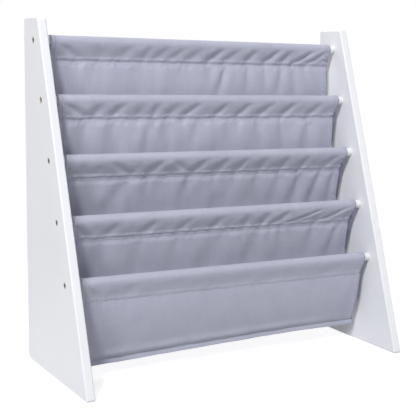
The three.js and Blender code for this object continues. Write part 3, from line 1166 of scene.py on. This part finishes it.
    # the side edges run a little in and out
    outward = sling.edgeWave * hump(inward, sling.edgeWaveWidth) * np.sign(across)
    points[:, :, 0] += outward * (np.sin(along / sling.edgeWaveLength + index)[:, None] - 1)
    points[:, :, 0] -= sling.leftReach[index] * mm * hump(half + across, sling.leftWidth)
    # the painted shade wavers along the cloth
    waver = 0.8 + 0.35 * np.sin(along / (2.6 * mm) + 4 * np.sin(along / (19 * mm)))
    shade = np.clip(table[:, 4] * waver[:, None], 0, sling.deepestShade)
    # painted shade inside the fold, where the back layer shows past the front one's ends
    insideShade = shade.copy()
    if not hasTail:
        deep = sling.insideShade * fade(inward, *sling.insideShadeEnds)
        hidden = slice(backSleeve + sling.insideShadeRow, marks["backFlange"])
        insideShade[hidden] = np.maximum(insideShade[hidden], deep)
    return points, thickness, along, marks, (shade, insideShade)


def skinsOf(points, thickness):
    # the cloth's outer and inner face, and the way out
    normals = unit(np.cross(np.gradient(points, axis=1), np.gradient(points, axis=0)))
    away = normals * thickness[:, :, None] / 2
    return points + away, points - away, normals


def meshFromSheet(name, points, thickness, along, shades, offset):
    # an outer and an inner skin, joined round the edge
    rowCount, columnCount = thickness.shape
    outer, inner, normals = skinsOf(points, thickness)
    vertices = np.concatenate([outer.reshape(-1, 3), inner.reshape(-1, 3)])
    low = rowCount * columnCount
    grid = np.arange(low).reshape(rowCount, columnCount)

    def quads(*corners):
        return np.stack([corner.ravel() for corner in corners], axis=1)

    top = quads(grid[:-1, :-1], grid[:-1, 1:], grid[1:, 1:], grid[1:, :-1])
    rim = np.concatenate([grid[0, ::-1], grid[1:, 0], grid[-1, 1:], grid[::-1, -1][1:]])
    sides = quads(rim[:-1], rim[1:], rim[1:] + low, rim[:-1] + low)
    faces = np.concatenate([top, top[:, ::-1] + low, sides])
    mesh = newMesh(name, vertices, faces.tolist())
    place = np.stack([points[:, :, 0] + offset,
                      np.repeat(along[:, None], columnCount, axis=1)], axis=2).reshape(-1, 2)
    layer = mesh.uv_layers.new(name="clothMetres")
    layer.data.foreach_set("uv", np.concatenate([place, place])[faces.ravel()].ravel())
    # the painted shade of each point, for both skins
    paintedShadeNode = mesh.attributes.new("paintedShadeMask", "FLOAT", "POINT")
    paintedShadeNode.data.foreach_set("value", np.stack(shades).ravel().astype(np.float32))
    return mesh


# Stitches, one modelled and then laid along each seam and hem

stitch = Settings(
    length=3.9 * mm,
    radius=0.32 * mm,
    sides=6,
    pitch=finishes["greyCanvas"].stitchPitch,
    lift=0.04 * mm,
    endLength=0.35 * mm,
    endNarrowing=0.45,
    endSink=0.3,
    hemRoom=2 * mm,
)


def makeStitch():
    thread = addCylinder("stitchMaster", stitch.sides, stitch.radius,
                         stitch.length - 2 * stitch.endLength)
    startEditing(thread)
    for side in (-1, 1):
        chooseEnd(thread, side)
        extrude(side * stitch.endLength)
        bpy.ops.transform.resize(
            value=(1, stitch.endNarrowing, stitch.endNarrowing),
            center_override=(side * stitch.length / 2, 0, -stitch.endSink * stitch.radius))
    stopEditing()
    corners = np.array([corner.co for corner in thread.data.vertices])
    faces = [list(face.vertices) for face in thread.data.polygons]
    discard(thread)
    return corners, faces


def stitchPlaces(path, normals):
    # evenly along a path, each stitch's middle, and its run, its side and the way out as axes
    travelled = lengthsAlong(path)
    count = int((travelled[-1] - 2 * mm) // stitch.pitch)
    spare = travelled[-1] - (count - 1) * stitch.pitch
    at = spare / 2 + stitch.pitch * np.arange(count)

    def sample(values, where):
        return np.stack([np.interp(where, travelled, values[:, axis]) for axis in range(3)], axis=1)

    runs = unit(sample(path, at + mm) - sample(path, at - mm))
    outs = sample(normals, at)
    outs = unit(outs - runs * np.sum(outs * runs, axis=1, keepdims=True))
    return sample(path, at), np.stack([runs, np.cross(outs, runs), outs], axis=1)


def layStitches(index, points, thickness, marks, master):
    corners, faces = master
    outer, inner, normals = skinsOf(points, thickness)
    half, across = clothColumns()
    keep = np.abs(across) < half - stitch.hemRoom
    paths = [(outer[mark][keep], normals[mark][keep]) for mark in marks.values()]
    for side in (-1, 1):
        column = int(np.argmin(np.abs(across - side * (half - sling.hemStitch))))
        paths.append((outer[:, column], normals[:, column]))
        paths.append((inner[:, column], -normals[:, column]))
    vertices, polygons = [], []
    for path, outward in paths:
        for middle, axes in zip(*stitchPlaces(path, outward)):
            base = len(vertices) * len(corners)
            vertices.append(middle + axes[2] * stitch.lift + corners @ axes)
            polygons += [[base + corner for corner in face] for face in faces]
    piece = addObject(newMesh(f"stitching_{index + 1}", np.concatenate(vertices), polygons))
    dress(piece, seamThread)
    return piece


def addSlings():
    master = makeStitch()
    for index in range(shelf.rodCount):
        points, thickness, along, marks, shades = shapeStrip(index)
        piece = addObject(meshFromSheet(f"canvasSling_{index + 1}", points, thickness, along,
                                        shades, sling.weaveShift * index))
        dress(piece, greyCanvas, f"sling_{index + 1}")
        thread = layStitches(index, points, thickness, marks, master)
        print("sling", index + 1, "made and stitched")


addCamera()
addStage()
addPanels()
addRods()
addBolts()
finishInserts()
addSlings()
